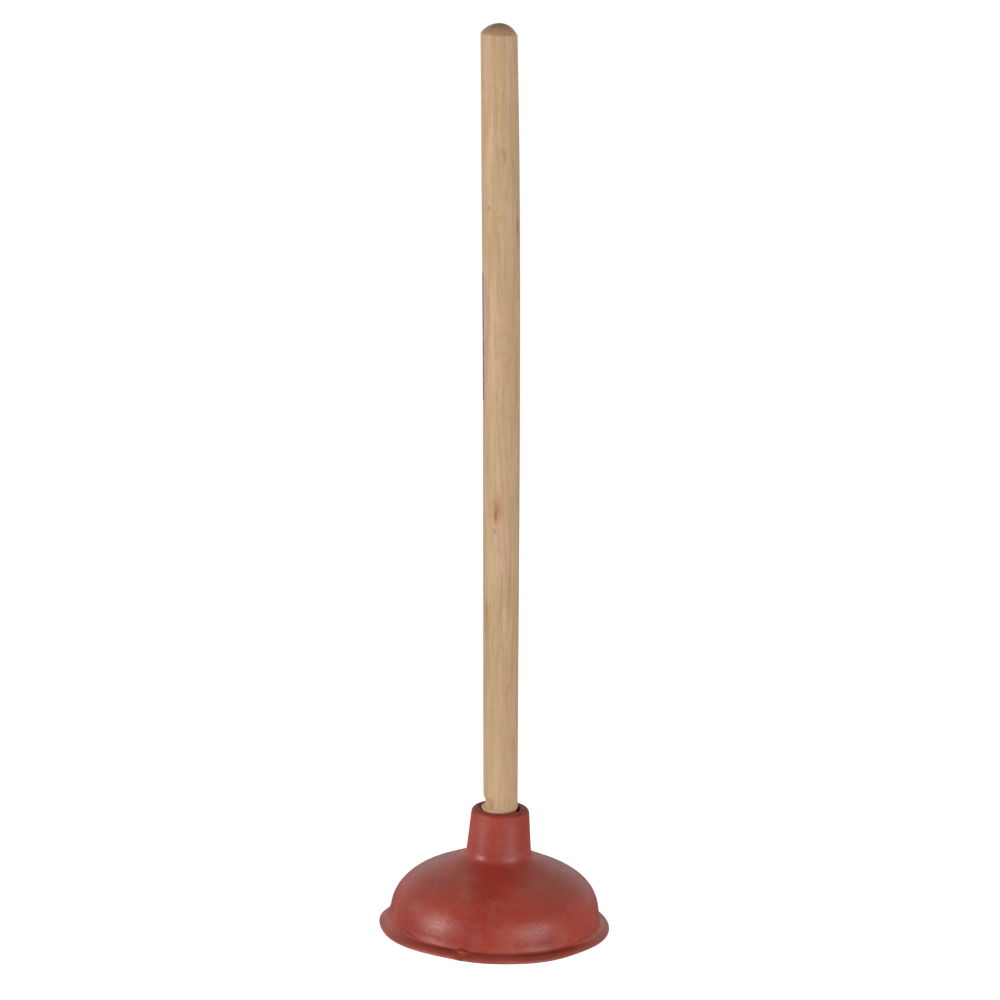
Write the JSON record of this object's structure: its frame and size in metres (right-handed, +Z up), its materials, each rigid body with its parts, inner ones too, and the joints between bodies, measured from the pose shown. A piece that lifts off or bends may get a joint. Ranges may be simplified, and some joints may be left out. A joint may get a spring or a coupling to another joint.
{
  "type": "sink plunger",
  "caption": "Sink plunger: a straight domed wooden handle screwed into the neck of a shallow flared rubber cup.",
  "frame": {"origin": "centre of the circle that the cup's lip rests on", "axes": "+Z up along the cup's axis; the handle leans 2.38 degrees towards -X"},
  "size_m": [0.15, 0.15, 0.581],
  "materials": {
    "rubber": "satin",
    "wood": "satin"
  },
  "bodies": {
    "lip": {"cup_lip": "rubber", "cup_bell": "rubber"},
    "shoulder": {"cup_shoulder": "rubber"},
    "crown": {"cup_crown": "rubber"},
    "neck": {"cup_neck": "rubber"},
    "handle": {"handle": "wood"}
  },
  "joints": [
    {"name": "plunge", "type": "slide", "parent": "lip", "child": "shoulder", "axis": [0, 0, 1], "range_m": [-0.018, 0], "stiffness_N_per_m": 2000, "springref_m": 0.005, "deforming": ["cup_bell"]},
    {"name": "lean_fore_aft", "type": "hinge", "parent": "shoulder", "child": "crown", "pos_m": [0, 0, 0.04], "axis": [1, 0, 0], "range_deg": [-10, 10], "stiffness_Nm_per_rad": 20},
    {"name": "lean_side", "type": "hinge", "parent": "crown", "child": "neck", "pos_m": [0, 0, 0.04], "axis": [0, 1, 0], "range_deg": [-10, 10], "stiffness_Nm_per_rad": 20},
    {"name": "unscrew", "type": "slide", "parent": "neck", "child": "handle", "axis": [-0.0415, 0, 0.9991], "range_m": [0, 0.036]}
  ]
}
